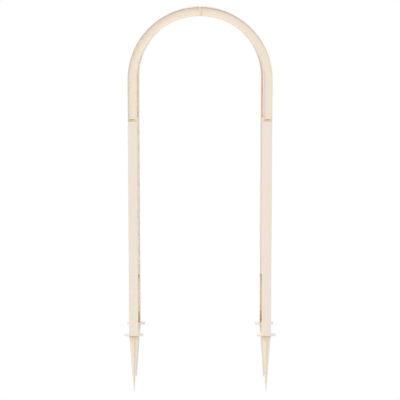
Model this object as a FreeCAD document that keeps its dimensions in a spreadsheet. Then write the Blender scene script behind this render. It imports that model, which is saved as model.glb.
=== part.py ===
import FreeCAD, Part
import math
import os
import Sketcher

# A free-standing rose arch of moulded plastic. It has a front and a rear hoop. Each hoop has two
# posts, which are channels that open towards the other hoop, and two quarter arches that meet
# at the top. A ladder in each side joins the hoops, bars go on round the arch, and four spikes
# with step plates hold it in the ground.
# The frame: X to the right, Y to the rear, Z up. The origin is on the ground, midway between
# the four feet. All sizes are in millimetres.

os.makedirs("parts", exist_ok=True)
doc = FreeCAD.newDocument("rose_arch")

SIZES = [
    ("arch_width", 930, "outside of one leg to outside of the other"),
    ("arch_depth", 400, "front face of the front hoop to rear face of the rear hoop"),
    ("post_height", 1413, "ground to the joint between post and arch"),
    ("arch_foot_length", 267, "straight foot of a quarter arch, from the joint to the round top"),
    ("rail_width", 60, "face of a post or arch, seen from the front"),
    ("rail_depth", 48, "post or arch from front to back"),
    ("rail_wall", 4, "wall of the posts and arches"),
    ("edge_radius", 1.5, "rounding of the long outer edges of posts and arches"),
    ("foot_gap", 3, "underside of the step plate up to the end of the post's face"),
    ("recess_depth", 12, "sunk face of the arch, behind its rims"),
    ("apex_wall", 5, "end wall of a quarter arch, at the top"),
    ("window_width", 29, "joint window at the foot of a quarter arch"),
    ("window_height", 14, "joint window, upwards from the joint"),
    ("sleeve_wall", 3, "wall of the joint sleeve"),
    ("sleeve_reach", 60, "joint sleeve, on each side of the joint"),
    ("sleeve_setback", 1, "closed side of the joint sleeve, behind the arch's sunk wall"),
    ("pin_diameter", 16, "pin that joins two quarter arches"),
    ("pin_reach", 30, "pin, on each side of the middle"),
    ("ladder_length", 1065, "side ladder, from the joint down"),
    ("stile_thickness", 7, "upright of the side ladder, front to back"),
    ("stile_inset", 1, "upright of the side ladder, behind the post's lips"),
    ("ladder_rungs", 9, "number of rungs in a side ladder, evenly spaced"),
    ("top_rung_drop", 50, "joint down to the middle of the highest rung"),
    ("lowest_rung_rise", 95, "lower end of the ladder up to the middle of the lowest rung"),
    ("first_bar_rise", 76, "joint up to the middle of the arch's first bar"),
    ("rung_height", 14, "rung, up and down"),
    ("rung_thickness", 10, "rung, from side to side"),
    ("rung_radius", 3, "rounding of the rung's long edges"),
    ("plate_width", 122, "step plate, from side to side"),
    ("plate_thickness", 10, "step plate"),
    ("spigot_width", 24, "tongue of the spike inside the post, from side to side"),
    ("spigot_height", 80, "tongue of the spike above the step plate"),
    ("spike_length", 370, "spike below the step plate"),
    ("spike_depth", 32, "cross fin of the spike at its top, front to back"),
    ("spike_tip", 5, "width of the spike at its tip"),
    ("fin_thickness", 5, "fins of the spike"),
    ("fit_clearance", 0.3, "gap between a piece and the one that it fits in"),
    ("cut_margin", 2, "how far a cut runs on past an open end"),
]

sheet = doc.addObject("Spreadsheet::Sheet", "Sizes")
for number, (alias, size, note) in enumerate(SIZES, start=1):
    sheet.set(f"A{number}", alias)
    sheet.set(f"B{number}", str(size))
    sheet.setAlias(f"B{number}", alias)
    sheet.set(f"C{number}", note)
doc.recompute()

# Places that several pieces share, as expressions on the sheet.
OUTER_RADIUS = "Sizes.arch_width / 2"
INNER_RADIUS = "(Sizes.arch_width / 2 - Sizes.rail_width)"
LEG_AXIS = "(Sizes.arch_width - Sizes.rail_width) / 2"
FACE = "Sizes.arch_depth / 2"
INNER_HALF = "(Sizes.rail_width / 2 - Sizes.rail_wall)"
FIT_HALF = f"({INNER_HALF} - Sizes.fit_clearance)"
WEB_BACK = "(Sizes.recess_depth + Sizes.rail_wall)"
STILE_FRONT = "(Sizes.rail_depth - Sizes.stile_inset - Sizes.stile_thickness)"
STILE_BACK = "(Sizes.rail_depth - Sizes.stile_inset)"
PLATE_FRONT = "(Sizes.rail_wall + Sizes.fit_clearance)"
PLATE_TOP = "Sizes.plate_thickness"
SPRING_HEIGHT = "(Sizes.post_height + Sizes.arch_foot_length)"
STILE_BOTTOM = "(Sizes.post_height - Sizes.ladder_length)"
RUNG_RUN = "(Sizes.ladder_length - Sizes.top_rung_drop - Sizes.lowest_rung_rise)"
RUNG_PITCH = f"({RUNG_RUN} / (Sizes.ladder_rungs - 1))"
SPIKE_AXIS = "Sizes.rail_depth / 2"
PIN_DEPTH = f"({WEB_BACK} + Sizes.rail_depth) / 2"
PIN_HEIGHT = f"{SPRING_HEIGHT} + {LEG_AXIS}"

SIDES = {"left": -1, "right": 1}
ROWS = {"front": -1, "rear": 1}

nodes = []


def value(expression):
    """The number that an expression on the sheet has now."""
    return float(sheet.evalExpression(expression))


def new_body(label):
    """An empty body that becomes the node of that name."""
    body = doc.addObject("PartDesign::Body", label)
    body.Label = label
    return body


def new_sketch(body, name, plane, offset=None):
    """A sketch on one of the body's own planes, moved along its normal by an expression."""
    sketch = body.newObject("Sketcher::SketchObject", name)
    origin_plane = next(f for f in body.Origin.OriginFeatures if f.Role == plane)
    sketch.AttachmentSupport = (origin_plane, "")
    sketch.MapMode = "FlatFace"
    if offset:
        sketch.setExpression("AttachmentOffset.Base.z", offset)
    return sketch


def bind(sketch, constraint, expression):
    """A dimension of the sketch that follows an expression."""
    index = sketch.addConstraint(constraint)
    sketch.setExpression(f"Constraints[{index}]", expression)


def draw_outline(sketch, corners):
    """A closed outline of straight lines, each corner bound by its two expressions."""
    places = [FreeCAD.Vector(value(x), value(y), 0) for x, y in corners]
    first = sketch.GeometryCount
    count = len(corners)
    for i in range(count):
        sketch.addGeometry(Part.LineSegment(places[i], places[(i + 1) % count]))
    for i in range(count):
        following = first + (i + 1) % count
        sketch.addConstraint(Sketcher.Constraint("Coincident", first + i, 2, following, 1))
    for i, (x, y) in enumerate(corners):
        line = first + i
        bind(sketch, Sketcher.Constraint("DistanceX", -1, 1, line, 1, places[i].x), x)
        bind(sketch, Sketcher.Constraint("DistanceY", -1, 1, line, 1, places[i].y), y)


def draw_rectangle(sketch, left, right, low, high):
    """A rectangle between four expressions."""
    draw_outline(sketch, [(left, low), (right, low), (right, high), (left, high)])


def draw_half_arch(sketch, side, inset, apex, bottom):
    """The face of a quarter arch with its straight foot, both long edges moved in by inset."""
    outer = f"{OUTER_RADIUS} - {inset}"
    inner = f"{INNER_RADIUS} + {inset}"
    centre = FreeCAD.Vector(0, value(SPRING_HEIGHT), 0)
    foot = value(bottom)
    end = value(apex)
    spring, top = (1, 2) if side > 0 else (2, 1)
    tops = []
    for radius in (value(outer), value(inner)):
        circle = Part.Circle(centre, FreeCAD.Vector(0, 0, 1), radius)
        lean = math.asin(end / radius)
        if side > 0:
            sketch.addGeometry(Part.ArcOfCircle(circle, 0, math.pi / 2 - lean))
        else:
            sketch.addGeometry(Part.ArcOfCircle(circle, math.pi / 2 + lean, math.pi))
        tops.append(FreeCAD.Vector(side * end, centre.y + radius * math.cos(lean), 0))
        line_x = side * radius
        low = FreeCAD.Vector(line_x, foot, 0)
        sketch.addGeometry(Part.LineSegment(low, FreeCAD.Vector(line_x, centre.y, 0)))
    outer_arc, outer_line, inner_arc, inner_line, end_line, foot_line = range(6)
    sketch.addGeometry(Part.LineSegment(tops[0], tops[1]))
    feet = [FreeCAD.Vector(side * value(r), foot, 0) for r in (outer, inner)]
    sketch.addGeometry(Part.LineSegment(feet[0], feet[1]))
    for arc, line, end_of_line in ((outer_arc, outer_line, 1), (inner_arc, inner_line, 2)):
        sketch.addConstraint(Sketcher.Constraint("Coincident", arc, spring, line, 2))
        sketch.addConstraint(Sketcher.Constraint("Coincident", arc, top, end_line, end_of_line))
        sketch.addConstraint(Sketcher.Constraint("Coincident", line, 1, foot_line, end_of_line))
        sketch.addConstraint(Sketcher.Constraint("Vertical", line))
        sketch.addConstraint(Sketcher.Constraint("Horizontal", arc, 3, line, 2))
    sketch.addConstraint(Sketcher.Constraint("Coincident", outer_arc, 3, inner_arc, 3))
    sketch.addConstraint(Sketcher.Constraint("PointOnObject", outer_arc, 3, -2))
    sketch.addConstraint(Sketcher.Constraint("Vertical", end_line))
    sketch.addConstraint(Sketcher.Constraint("Horizontal", foot_line))
    height = Sketcher.Constraint("DistanceY", -1, 1, outer_arc, 3, centre.y)
    bind(sketch, height, SPRING_HEIGHT)
    bind(sketch, Sketcher.Constraint("Radius", outer_arc, value(outer)), outer)
    bind(sketch, Sketcher.Constraint("Radius", inner_arc, value(inner)), inner)
    reach = Sketcher.Constraint("DistanceX", -1, 1, end_line, 1, side * end)
    bind(sketch, reach, f"{side} * ({apex})")
    bind(sketch, Sketcher.Constraint("DistanceY", -1, 1, foot_line, 1, foot), bottom)


def add_feature(body, kind, sketch, length, reverse=False):
    """A pad or a pocket of a sketch, and a check that it added or took away material."""
    doc.recompute()
    before = body.Shape.Volume if body.Tip else 0
    feature = body.newObject(f"PartDesign::{kind}", f"{kind}_{sketch.Name}")
    feature.Profile = sketch
    feature.setExpression("Length", length)
    feature.Reversed = reverse
    sketch.Visibility = False
    doc.recompute()
    grown = body.Shape.Volume - before
    if (kind == "Pad") != (grown > 0):
        raise RuntimeError(f"{feature.Name} of {body.Label} changed the volume by {grown:.1f}")
    return feature


def round_edges(body, radius, wanted):
    """A fillet on the edges that the test picks out."""
    base = body.Tip
    names = [f"Edge{n}" for n, edge in enumerate(base.Shape.Edges, start=1) if wanted(edge)]
    fillet = body.newObject("PartDesign::Fillet", f"Round_{base.Name}")
    fillet.Base = (base, names)
    fillet.setExpression("Radius", radius)
    doc.recompute()


def runs_along(edge, axis):
    """Whether a straight edge lies along the axis."""
    if not isinstance(edge.Curve, Part.Line):
        return False
    return abs(edge.Curve.Direction.dot(axis)) > 0.999


def is_long_outer_edge(edge):
    """Whether an edge of a quarter arch's block runs along it, on the outer face."""
    if max(abs(vertex.Y) for vertex in edge.Vertexes) > 0.01:
        return False
    if not isinstance(edge.Curve, Part.Line):
        return True
    if not runs_along(edge, FreeCAD.Vector(0, 0, 1)):
        return False
    return abs(edge.CenterOfMass.x) > value(INNER_RADIUS) - 0.01


def put_on_leg(thing, side, row):
    """Place a piece drawn about a leg's axis, with its outer face on the leg's face."""
    thing.setExpression("Placement.Base.x", f"{side} * {LEG_AXIS}")
    put_in_row(thing, row)


def put_in_row(thing, row):
    """Place a piece drawn from its hoop's outer face inwards; the rear hoop is turned round."""
    thing.setExpression("Placement.Base.y", f"{row} * {FACE}")
    if row > 0:
        thing.Placement.Rotation = FreeCAD.Rotation(FreeCAD.Vector(0, 0, 1), 180)


def make_post(label, side, row):
    """A channel with its back to the outside, its side walls standing on the step plate."""
    body = new_body(label)
    outer = new_sketch(body, f"section_{label}", "XY_Plane", "Sizes.foot_gap")
    half = "Sizes.rail_width / 2"
    draw_outline(outer, [
        (f"-{half}", "0"),
        (half, "0"),
        (half, "Sizes.rail_depth"),
        (INNER_HALF, "Sizes.rail_depth"),
        (INNER_HALF, "Sizes.rail_wall"),
        (f"-{INNER_HALF}", "Sizes.rail_wall"),
        (f"-{INNER_HALF}", "Sizes.rail_depth"),
        (f"-{half}", "Sizes.rail_depth"),
    ])
    add_feature(body, "Pad", outer, "Sizes.post_height - Sizes.foot_gap")
    notch = new_sketch(body, f"notch_{label}", "XY_Plane", "Sizes.foot_gap")
    wide = f"({half} + Sizes.cut_margin)"
    draw_rectangle(notch, f"-{wide}", wide, "Sizes.rail_wall", "Sizes.rail_depth + Sizes.cut_margin")
    height = f"{PLATE_TOP} + Sizes.fit_clearance - Sizes.foot_gap"
    add_feature(body, "Pocket", notch, height, reverse=True)
    upright = FreeCAD.Vector(0, 0, 1)
    wide_x = value(half)
    round_edges(body, "Sizes.edge_radius", lambda edge: runs_along(edge, upright)
                and abs(abs(edge.CenterOfMass.x) - wide_x) < 0.01
                and abs(edge.CenterOfMass.y) < 0.01)
    put_on_leg(body, side, row)
    nodes.append(body)


def make_arch_rail(label, side, row):
    """A quarter arch with its straight foot: sunk on the outside, a channel on the inside."""
    body = new_body(label)
    hand = -side * row
    face = new_sketch(body, f"face_{label}", "XZ_Plane")
    draw_half_arch(face, hand, "0", "0", "Sizes.post_height")
    add_feature(body, "Pad", face, "Sizes.rail_depth", reverse=True)
    round_edges(body, "Sizes.edge_radius", is_long_outer_edge)
    below = "Sizes.post_height - Sizes.cut_margin"
    recess = new_sketch(body, f"recess_{label}", "XZ_Plane")
    draw_half_arch(recess, hand, "Sizes.rail_wall", "Sizes.apex_wall", below)
    add_feature(body, "Pocket", recess, "Sizes.recess_depth")
    channel = new_sketch(body, f"channel_{label}", "XZ_Plane", "-Sizes.rail_depth")
    draw_half_arch(channel, hand, "Sizes.rail_wall", "Sizes.apex_wall", below)
    add_feature(body, "Pocket", channel, f"Sizes.rail_depth - {WEB_BACK}", reverse=True)
    window = new_sketch(body, f"window_{label}", "XZ_Plane")
    middle = f"{hand} * {LEG_AXIS}"
    draw_rectangle(window, f"{middle} - Sizes.window_width / 2", f"{middle} + Sizes.window_width / 2",
                   below, "Sizes.post_height + Sizes.window_height")
    add_feature(body, "Pocket", window, "Sizes.rail_depth")
    hole = new_sketch(body, f"pin_hole_{label}", "YZ_Plane")
    circle = Part.Circle(FreeCAD.Vector(value(PIN_DEPTH), value(PIN_HEIGHT), 0),
                         FreeCAD.Vector(0, 0, 1), value("Sizes.pin_diameter") / 2)
    hole.addGeometry(circle)
    bind(hole, Sketcher.Constraint("DistanceX", -1, 1, 0, 3, value(PIN_DEPTH)), PIN_DEPTH)
    bind(hole, Sketcher.Constraint("DistanceY", -1, 1, 0, 3, value(PIN_HEIGHT)), PIN_HEIGHT)
    bind(hole, Sketcher.Constraint("Radius", 0, value("Sizes.pin_diameter") / 2),
         "Sizes.pin_diameter / 2 + Sizes.fit_clearance")
    add_feature(body, "Pocket", hole, "Sizes.apex_wall + Sizes.cut_margin", reverse=hand > 0)
    put_in_row(body, row)
    nodes.append(body)


def make_joint_sleeve(label, side, row):
    """A channel inside post and arch, its closed side behind the window, open to the inside."""
    body = new_body(label)
    section = new_sketch(body, f"section_{label}", "XY_Plane", "Sizes.post_height - Sizes.sleeve_reach")
    front = f"({WEB_BACK} + Sizes.sleeve_setback)"
    back = f"({STILE_FRONT} - Sizes.fit_clearance)"
    inside = f"({FIT_HALF} - Sizes.sleeve_wall)"
    draw_outline(section, [
        (f"-{FIT_HALF}", front),
        (FIT_HALF, front),
        (FIT_HALF, back),
        (inside, back),
        (inside, f"{front} + Sizes.sleeve_wall"),
        (f"-{inside}", f"{front} + Sizes.sleeve_wall"),
        (f"-{inside}", back),
        (f"-{FIT_HALF}", back),
    ])
    add_feature(body, "Pad", section, "2 * Sizes.sleeve_reach")
    put_on_leg(body, side, row)
    nodes.append(body)


def make_stile(label, side, row):
    """An upright of the side ladder, which closes the post's channel."""
    body = new_body(label)
    section = new_sketch(body, f"section_{label}", "XY_Plane", STILE_BOTTOM)
    draw_rectangle(section, f"-{FIT_HALF}", FIT_HALF, STILE_FRONT, STILE_BACK)
    add_feature(body, "Pad", section, "Sizes.ladder_length")
    put_on_leg(body, side, row)
    nodes.append(body)


def make_bar(label, length):
    """A bar with rounded long edges, drawn about its own middle and lying along Y."""
    body = new_body(label)
    section = new_sketch(body, f"section_{label}", "XZ_Plane", f"-{length} / 2")
    draw_rectangle(section, "-Sizes.rung_thickness / 2", "Sizes.rung_thickness / 2",
                   "-Sizes.rung_height / 2", "Sizes.rung_height / 2")
    add_feature(body, "Pad", section, length)
    along = FreeCAD.Vector(0, 1, 0)
    round_edges(body, "Sizes.rung_radius", lambda edge: runs_along(edge, along))
    return body


def make_side_rungs(side_name, side):
    """The rungs of one side ladder, from stile to stile."""
    length = f"(Sizes.arch_depth - 2 * {STILE_BACK})"
    for number in range(int(value("Sizes.ladder_rungs"))):
        bar = make_bar(f"{side_name}_rung_{number + 1}", length)
        bar.setExpression("Placement.Base.x", f"{side} * {LEG_AXIS}")
        bar.setExpression("Placement.Base.z",
                          f"{STILE_BOTTOM} + Sizes.lowest_rung_rise + {number} * {RUNG_PITCH}")
        nodes.append(bar)


def make_arch_rungs(side_name, side):
    """The bars of one half of the arch, from sunk face to sunk face, joined as one node."""
    length = f"(Sizes.arch_depth - 2 * {WEB_BACK})"
    run = value("Sizes.arch_foot_length - Sizes.first_bar_rise") + value(LEG_AXIS) * math.pi / 2
    count = int(run / value(RUNG_PITCH)) + 1
    bars = []
    for number in range(count):
        bar = make_bar(f"{side_name}_arch_bar_{number + 1}", length)
        travel = f"(Sizes.first_bar_rise - Sizes.arch_foot_length + {number} * {RUNG_PITCH})"
        turn = f"(max(0; {travel}) / ({LEG_AXIS}) * 180 / pi)"
        bar.setExpression("Placement.Base.x", f"{side} * {LEG_AXIS} * cos({turn})")
        straight = f"min(0; {travel})"
        bar.setExpression("Placement.Base.z",
                          f"{SPRING_HEIGHT} + {straight} + {LEG_AXIS} * sin({turn})")
        bar.setExpression("Placement.Rotation.Axis.y", "1")
        bar.setExpression("Placement.Rotation.Axis.z", "0")
        bar.setExpression("Placement.Rotation.Angle", f"-{side} * {turn}")
        bars.append(bar)
    group = doc.addObject("Part::Compound", f"{side_name}_arch_rungs")
    group.Label = f"{side_name}_arch_rungs"
    group.Links = bars
    nodes.append(group)


def make_apex_pin(label, row):
    """The pin through the end walls of two quarter arches."""
    pin = doc.addObject("Part::Cylinder", label)
    pin.Label = label
    pin.setExpression("Radius", "Sizes.pin_diameter / 2")
    pin.setExpression("Height", "2 * Sizes.pin_reach")
    pin.Placement.Rotation = FreeCAD.Rotation(FreeCAD.Vector(0, 1, 0), 90)
    pin.setExpression("Placement.Base.x", "-Sizes.pin_reach")
    pin.setExpression("Placement.Base.y", f"{row} * ({FACE} - {PIN_DEPTH})")
    pin.setExpression("Placement.Base.z", PIN_HEIGHT)
    nodes.append(pin)


def make_spike(label, side, row):
    """The step plate, the tongue that goes up into the post and the cross-shaped spike."""
    body = new_body(label)
    plate = new_sketch(body, f"plate_{label}", "XY_Plane")
    draw_rectangle(plate, "-Sizes.plate_width / 2", "Sizes.plate_width / 2",
                   PLATE_FRONT, "Sizes.rail_depth")
    add_feature(body, "Pad", plate, "Sizes.plate_thickness")
    tongue = new_sketch(body, f"tongue_{label}", "XY_Plane", "Sizes.plate_thickness")
    draw_rectangle(tongue, "-Sizes.spigot_width / 2", "Sizes.spigot_width / 2",
                   PLATE_FRONT, f"{STILE_FRONT} - Sizes.fit_clearance")
    add_feature(body, "Pad", tongue, "Sizes.spigot_height")
    wide_fin = new_sketch(body, f"wide_fin_{label}", "XZ_Plane",
                          f"-({SPIKE_AXIS} - Sizes.fin_thickness / 2)")
    draw_outline(wide_fin, [
        ("-Sizes.rail_width / 2", "0"),
        ("-Sizes.spike_tip / 2", "-Sizes.spike_length"),
        ("Sizes.spike_tip / 2", "-Sizes.spike_length"),
        ("Sizes.rail_width / 2", "0"),
    ])
    add_feature(body, "Pad", wide_fin, "Sizes.fin_thickness", reverse=True)
    cross_fin = new_sketch(body, f"cross_fin_{label}", "YZ_Plane", "-Sizes.fin_thickness / 2")
    draw_outline(cross_fin, [
        (f"{SPIKE_AXIS} - Sizes.spike_depth / 2", "0"),
        (f"{SPIKE_AXIS} - Sizes.spike_tip / 2", "-Sizes.spike_length"),
        (f"{SPIKE_AXIS} + Sizes.spike_tip / 2", "-Sizes.spike_length"),
        (f"{SPIKE_AXIS} + Sizes.spike_depth / 2", "0"),
    ])
    add_feature(body, "Pad", cross_fin, "Sizes.fin_thickness")
    put_on_leg(body, side, row)
    nodes.append(body)


for row_name, row in ROWS.items():
    for side_name, side in SIDES.items():
        leg = f"{row_name}_{side_name}"
        make_post(f"{leg}_post", side, row)
        make_arch_rail(f"{leg}_arch_rail", side, row)
        make_joint_sleeve(f"{leg}_joint_sleeve", side, row)
        make_stile(f"{leg}_ladder_stile", side, row)
        make_spike(f"{leg}_ground_spike", side, row)
    make_apex_pin(f"{row_name}_apex_pin", row)
for side_name, side in SIDES.items():
    make_side_rungs(side_name, side)
    make_arch_rungs(side_name, side)

doc.recompute()
for thing in doc.Objects:
    if {"Invalid", "Error"} & set(thing.State):
        raise RuntimeError(f"{thing.Label} failed: {thing.State}")
for node in nodes:
    if node.Shape.isNull() or not node.Shape.isValid() or not node.Shape.Solids:
        raise RuntimeError(f"{node.Label} has no valid solid")
for node in nodes:
    node.Shape.exportStep(f"parts/{node.Label}.step")
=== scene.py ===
import math
import bpy
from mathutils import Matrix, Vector

# A free-standing rose arch of cream moulded plastic, in metres: two hoops of channel joined by
# ladder sides and by bars round the top, on four ground spikes with step plates.

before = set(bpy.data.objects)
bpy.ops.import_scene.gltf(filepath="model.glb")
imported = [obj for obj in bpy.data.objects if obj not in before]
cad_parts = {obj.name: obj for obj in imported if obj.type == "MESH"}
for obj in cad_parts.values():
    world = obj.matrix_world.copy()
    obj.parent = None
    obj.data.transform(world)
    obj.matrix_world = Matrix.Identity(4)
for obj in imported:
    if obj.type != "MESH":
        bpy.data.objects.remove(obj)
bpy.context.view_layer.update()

# The hoops: where the straight legs end and the round top begins, and the middle of the rails.
SPRING_HEIGHT = 1.68
HOOP_RADIUS = 0.435

# The view, a little above the crown of the arch. The dip is in degrees, the lens in millimetres.
VIEW_PLACE = (0.0, -9.580, 2.2245)
VIEW_DIP = 8.014
VIEW_LENS = 131.74
VIEW_WIDTH = 36.0

# The floor lies just under the tips of the spikes.
FLOOR_HEIGHT = -0.376
FLOOR_SPAN = 120.0
FLOOR_GREY = (0.55, 0.55, 0.55, 1.0)

# The lights: name, strength, turn from the front towards the left, and height, both in degrees.
LIGHTS = (
    ("key", 0.58, 45.0, 55.0),
    ("front_fill", 0.6, 5.0, 30.0),
    ("left_fill", 0.24, 90.0, 30.0),
    ("back_left", 0.7, 135.0, 10.0),
    ("back_right", 0.5, -135.0, 10.0),
)
LIGHT_SOFTNESS = 24.0
ROUND_LIGHT = 0.7
WHITE = (1.0, 1.0, 1.0, 1.0)

# The cream plastic: its body, its slightly darker clouds, its pale lines and edges, and the warm
# painted shade of its hollows.
CREAM = (0.967, 0.874, 0.76)
CLOUDED_CREAM = (0.94, 0.838, 0.714)
PALE_CREAM = tuple(min(1.0, part * 1.02 + 0.015) for part in CREAM)
# Painted shade: a warmer, darker cream laid into hollows and recesses where shade falls.
PAINTED_SHADE_CREAM = (1.0, 0.765, 0.35)
LINE_SHARE = 0.5
EDGE_SHARE = 0.5
EDGE_WIDTH = 0.0012
GRAIN_STRENGTH = 0.4
GRAIN_DEPTH = 0.0004
PLASTIC_IOR = 1.46
PLASTIC_SHEEN = 0.25

# The painted warm shade of a hollow starts at the first share of open space and is full at the second.
PAINTED_SHADE_REACH = 0.045
PAINTED_SHADE_RANGE = (0.68, 0.15)
# On the ladder stiles the painted shade reaches further out, round the roots of the rungs where their
# shadows fall.
STILE_PAINTED_SHADE_RANGE = (0.97, 0.5)

# The plastic's flow lines are drawn out along a leg, along a bar or along a pin.
UP_THE_LEG = (1.0, 1.0, 0.06)
ALONG_THE_BAR = (1.0, 0.06, 1.0)
ALONG_THE_PIN = (0.06, 1.0, 1.0)

# How fine the mould's grain is.
FINE_GRAIN = 900.0
SPIKE_GRAIN = 700.0

# Each kind of piece: its material, the word in its nodes' names, its flow lines, its roughness
# and what sets it apart.
PLASTICS = (
    ("post_plastic", "_post", UP_THE_LEG, 0.46, {}),
    ("arch_plastic", "_arch_rail", UP_THE_LEG, 0.46, {"along_hoop": True}),
    ("rung_plastic", "_rung", ALONG_THE_BAR, 0.44, {}),
    ("stile_plastic", "_ladder_stile", UP_THE_LEG, 0.47, {"painted_shade_span": STILE_PAINTED_SHADE_RANGE}),
    ("sleeve_plastic", "_joint_sleeve", UP_THE_LEG, 0.5, {}),
    ("pin_plastic", "_apex_pin", ALONG_THE_PIN, 0.5, {}),
    ("spike_plastic", "_ground_spike", UP_THE_LEG, 0.5, {"grain": SPIKE_GRAIN}),
)


# View, floor and light

def place_camera():
    """A long lens that looks slightly down on the whole of the arch."""
    lens = bpy.data.cameras.new("view_lens")
    lens.sensor_width = VIEW_WIDTH
    lens.lens = VIEW_LENS
    camera = bpy.data.objects.new("view", lens)
    bpy.context.scene.collection.objects.link(camera)
    camera.location = VIEW_PLACE
    camera.rotation_euler = (math.radians(90.0 - VIEW_DIP), 0.0, 0.0)
    bpy.context.scene.camera = camera


def show_plain(tree, lit, plain, output):
    """The lit shader for the light that falls on it, and the plain one where it is looked at."""
    path = tree.nodes.new("ShaderNodeLightPath")
    mix = tree.nodes.new("ShaderNodeMixShader")
    tree.links.new(path.outputs["Is Camera Ray"], mix.inputs[0])
    tree.links.new(lit.outputs[0], mix.inputs[1])
    tree.links.new(plain.outputs[0], mix.inputs[2])
    tree.links.new(mix.outputs[0], output.inputs["Surface"])


def lay_floor():
    """A plain pale studio floor."""
    bpy.ops.object.select_all(action="DESELECT")
    bpy.ops.mesh.primitive_plane_add(size=FLOOR_SPAN, location=(0.0, 0.0, 0.0))
    floor = bpy.context.object
    floor.name = "studio_floor"
    for corner in floor.data.vertices:
        corner.co.z = FLOOR_HEIGHT
    paper = bpy.data.materials.new("floor_paper")
    paper.use_nodes = True
    tree = paper.node_tree
    tree.nodes.clear()
    matt = tree.nodes.new("ShaderNodeBsdfDiffuse")
    matt.inputs["Color"].default_value = FLOOR_GREY
    plain = tree.nodes.new("ShaderNodeEmission")
    show_plain(tree, matt, plain, tree.nodes.new("ShaderNodeOutputMaterial"))
    floor.data.materials.append(paper)


def hang_light(name, strength, side, height):
    """A broad, far, soft light."""
    data = bpy.data.lights.new(name, "SUN")
    data.energy = strength
    data.angle = math.radians(LIGHT_SOFTNESS)
    light = bpy.data.objects.new(name, data)
    bpy.context.scene.collection.objects.link(light)
    turn, lift = math.radians(side), math.radians(height)
    travel = Vector((math.sin(turn) * math.cos(lift), math.cos(turn) * math.cos(lift), -math.sin(lift)))
    light.rotation_euler = travel.to_track_quat("-Z", "Y").to_euler()


def add_background(tree, strength):
    """White light from all round."""
    background = tree.nodes.new("ShaderNodeBackground")
    background.inputs["Color"].default_value = WHITE
    background.inputs["Strength"].default_value = strength
    return background


def light_studio():
    """A high key from the front left, fills, low lights behind, and even light all round."""
    for name, strength, side, height in LIGHTS:
        hang_light(name, strength, side, height)
    world = bpy.data.worlds.new("studio")
    bpy.context.scene.world = world
    world.use_nodes = True
    tree = world.node_tree
    tree.nodes.clear()
    show_plain(tree, add_background(tree, ROUND_LIGHT), add_background(tree, 1.0),
               tree.nodes.new("ShaderNodeOutputWorld"))
    bpy.context.scene.view_settings.view_transform = "Standard"


# Moulded plastic

def new_group(name, inputs, outputs):
    """An empty shader node group, with the nodes where it starts and ends."""
    group = bpy.data.node_groups.new(name, "ShaderNodeTree")
    for way, sockets in (("INPUT", inputs), ("OUTPUT", outputs)):
        for socket, kind in sockets.items():
            group.interface.new_socket(name=socket, in_out=way, socket_type="NodeSocket" + kind)
    return group, group.nodes.new("NodeGroupInput"), group.nodes.new("NodeGroupOutput")


def put_group(tree, group):
    """A shared group placed in a material."""
    node = tree.nodes.new("ShaderNodeGroup")
    node.node_tree = group
    return node


def add_noise(tree, point, **settings):
    """A noise texture over the given point."""
    noise = tree.nodes.new("ShaderNodeTexNoise")
    for setting, value in settings.items():
        noise.inputs[setting].default_value = value
    tree.links.new(point, noise.inputs["Vector"])
    return noise


def math_node(tree, operation, first, second=None):
    """A sum on one or two sides, each a number or a socket."""
    node = tree.nodes.new("ShaderNodeMath")
    node.operation = operation
    for place, side in enumerate((first, second)):
        if isinstance(side, float):
            node.inputs[place].default_value = side
        elif side is not None:
            tree.links.new(side, node.inputs[place])
    return node.outputs[0]


def mix_colour(tree, factor, low, high):
    """A blend of two colours, each a value or a socket."""
    mix = tree.nodes.new("ShaderNodeMix")
    mix.data_type = "RGBA"
    tree.links.new(factor, mix.inputs["Factor"])
    for socket, colour in ((mix.inputs[6], low), (mix.inputs[7], high)):
        if isinstance(colour, tuple):
            socket.default_value = colour + (1.0,)
        else:
            tree.links.new(colour, socket)
    return mix.outputs[2]


def build_along_hoop():
    """Coordinates that run along the hoop: up the straight leg and on round the arch."""
    group, start, end = new_group("along_the_hoop", {"Point": "Vector"}, {"Point": "Vector"})
    split = group.nodes.new("ShaderNodeSeparateXYZ")
    group.links.new(start.outputs["Point"], split.inputs[0])
    across = math_node(group, "ABSOLUTE", split.outputs["X"])
    above = math_node(group, "SUBTRACT", split.outputs["Z"], SPRING_HEIGHT)
    over = math_node(group, "MAXIMUM", above, 0.0)
    under = math_node(group, "MINIMUM", above, 0.0)
    turn = math_node(group, "ARCTAN2", over, across)
    squares = math_node(group, "ADD", math_node(group, "POWER", over, 2.0),
                        math_node(group, "POWER", across, 2.0))
    travel = math_node(group, "ADD", under, math_node(group, "MULTIPLY", turn, HOOP_RADIUS))
    join = group.nodes.new("ShaderNodeCombineXYZ")
    group.links.new(math_node(group, "SQRT", squares), join.inputs["X"])
    group.links.new(split.outputs["Y"], join.inputs["Y"])
    group.links.new(travel, join.inputs["Z"])
    group.links.new(join.outputs[0], end.inputs["Point"])
    return group


def build_moulding():
    """The look of moulded plastic: cloudy tone, long flow lines and the fine grain of the mould."""
    group, start, end = new_group("moulded_surface",
                                  {"Point": "Vector", "Flow": "Vector", "Grain": "Float"},
                                  {"Cloud": "Float", "Lines": "Float", "Height": "Float"})
    point = start.outputs["Point"]
    stretch = group.nodes.new("ShaderNodeVectorMath")
    stretch.operation = "MULTIPLY"
    group.links.new(point, stretch.inputs[0])
    group.links.new(start.outputs["Flow"], stretch.inputs[1])
    cloud = add_noise(group, point, Scale=5.0, Detail=3.0)
    flow = add_noise(group, stretch.outputs[0], Scale=70.0, Detail=4.0, Distortion=0.4)
    grain = add_noise(group, point, Detail=2.0)
    group.links.new(start.outputs["Grain"], grain.inputs["Scale"])
    height = math_node(group, "ADD", math_node(group, "MULTIPLY", grain.outputs[0], 0.6),
                       math_node(group, "MULTIPLY", flow.outputs[0], 0.4))
    group.links.new(cloud.outputs[0], end.inputs["Cloud"])
    group.links.new(flow.outputs[0], end.inputs["Lines"])
    group.links.new(height, end.inputs["Height"])
    return group


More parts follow.
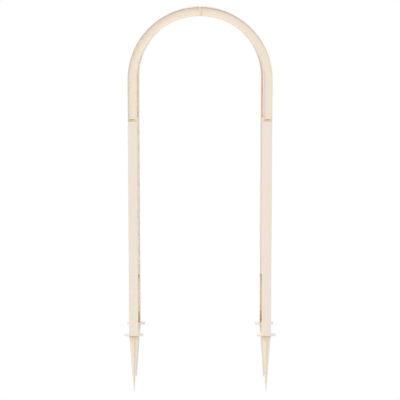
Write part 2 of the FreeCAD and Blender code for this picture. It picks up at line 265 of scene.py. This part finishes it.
def build_edges():
    """A mask of the sharp edges, and the normal that rounds them."""
    group, start, end = new_group("softened_edges", {"Width": "Float"},
                                  {"Mask": "Float", "Normal": "Vector"})
    bevel = group.nodes.new("ShaderNodeBevel")
    bevel.samples = 6
    group.links.new(start.outputs["Width"], bevel.inputs["Radius"])
    facing = group.nodes.new("ShaderNodeNewGeometry")
    compare = group.nodes.new("ShaderNodeVectorMath")
    compare.operation = "DOT_PRODUCT"
    group.links.new(bevel.outputs[0], compare.inputs[0])
    group.links.new(facing.outputs["Normal"], compare.inputs[1])
    mask = group.nodes.new("ShaderNodeMapRange")
    mask.inputs["From Min"].default_value = 0.995
    mask.inputs["From Max"].default_value = 0.75
    group.links.new(compare.outputs["Value"], mask.inputs["Value"])
    group.links.new(mask.outputs[0], end.inputs["Mask"])
    group.links.new(bevel.outputs[0], end.inputs["Normal"])
    return group


def build_painted_shade():
    """A mask of the narrow hollows, where a warmer, darker painted shade stands in for the light that
    goes from wall to wall.
    """
    group, start, end = new_group("painted_hollow_shade", {"Reach": "Float", "Open": "Float", "Deep": "Float"},
                                  {"Mask": "Float"})
    space = group.nodes.new("ShaderNodeAmbientOcclusion")
    space.samples = 24
    group.links.new(start.outputs["Reach"], space.inputs["Distance"])
    mask = group.nodes.new("ShaderNodeMapRange")
    group.links.new(start.outputs["Open"], mask.inputs["From Min"])
    group.links.new(start.outputs["Deep"], mask.inputs["From Max"])
    group.links.new(space.outputs["AO"], mask.inputs["Value"])
    group.links.new(mask.outputs[0], end.inputs["Mask"])
    return group


GROUPS = {
    "hoop": build_along_hoop(),
    "surface": build_moulding(),
    "edges": build_edges(),
    "painted_shade": build_painted_shade(),
}


def make_plastic(name, flow, rough, grain=FINE_GRAIN, along_hoop=False, painted_shade_span=PAINTED_SHADE_RANGE):
    """Cream plastic for one kind of piece, its flow lines running along the piece."""
    material = bpy.data.materials.new(name)
    material.use_nodes = True
    tree = material.node_tree
    shader = tree.nodes["Principled BSDF"]
    point = tree.nodes.new("ShaderNodeTexCoord").outputs["Object"]
    if along_hoop:
        hoop = put_group(tree, GROUPS["hoop"])
        tree.links.new(point, hoop.inputs["Point"])
        point = hoop.outputs["Point"]
    surface = put_group(tree, GROUPS["surface"])
    tree.links.new(point, surface.inputs["Point"])
    surface.inputs["Flow"].default_value = flow
    surface.inputs["Grain"].default_value = grain
    edges = put_group(tree, GROUPS["edges"])
    edges.inputs["Width"].default_value = EDGE_WIDTH
    painted_shade = put_group(tree, GROUPS["painted_shade"])
    painted_shade.inputs["Reach"].default_value = PAINTED_SHADE_REACH
    painted_shade.inputs["Open"].default_value, painted_shade.inputs["Deep"].default_value = painted_shade_span

    lines = math_node(tree, "MULTIPLY", surface.outputs["Lines"], LINE_SHARE)
    # The sharp edges are paler.
    edge_paling = math_node(tree, "MULTIPLY", edges.outputs["Mask"], EDGE_SHARE)
    body = mix_colour(tree, surface.outputs["Cloud"], CLOUDED_CREAM, CREAM)
    lined = mix_colour(tree, lines, body, PALE_CREAM)
    edged = mix_colour(tree, edge_paling, lined, PALE_CREAM)
    # Painted shade: the cream turns a warmer, darker tone in the hollows and recesses.
    painted_shade_colour = mix_colour(tree, painted_shade.outputs["Mask"], edged, PAINTED_SHADE_CREAM)
    tree.links.new(painted_shade_colour, shader.inputs["Base Color"])

    gloss = tree.nodes.new("ShaderNodeMapRange")
    gloss.inputs["To Min"].default_value = rough - 0.06
    gloss.inputs["To Max"].default_value = rough + 0.08
    tree.links.new(surface.outputs["Lines"], gloss.inputs["Value"])
    tree.links.new(gloss.outputs[0], shader.inputs["Roughness"])

    bump = tree.nodes.new("ShaderNodeBump")
    bump.inputs["Strength"].default_value = GRAIN_STRENGTH
    bump.inputs["Distance"].default_value = GRAIN_DEPTH
    tree.links.new(surface.outputs["Height"], bump.inputs["Height"])
    tree.links.new(edges.outputs["Normal"], bump.inputs["Normal"])
    tree.links.new(bump.outputs[0], shader.inputs["Normal"])
    shader.inputs["IOR"].default_value = PLASTIC_IOR
    shader.inputs["Specular IOR Level"].default_value = PLASTIC_SHEEN
    return material


def dress(word, material):
    """The material on every node whose name has that word."""
    for name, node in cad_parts.items():
        if word in name:
            for slot in node.material_slots:
                slot.material = material


# The arch

place_camera()
lay_floor()
light_studio()
for plastic, word, flow, rough, apart in PLASTICS:
    dress(word, make_plastic(plastic, flow, rough, **apart))
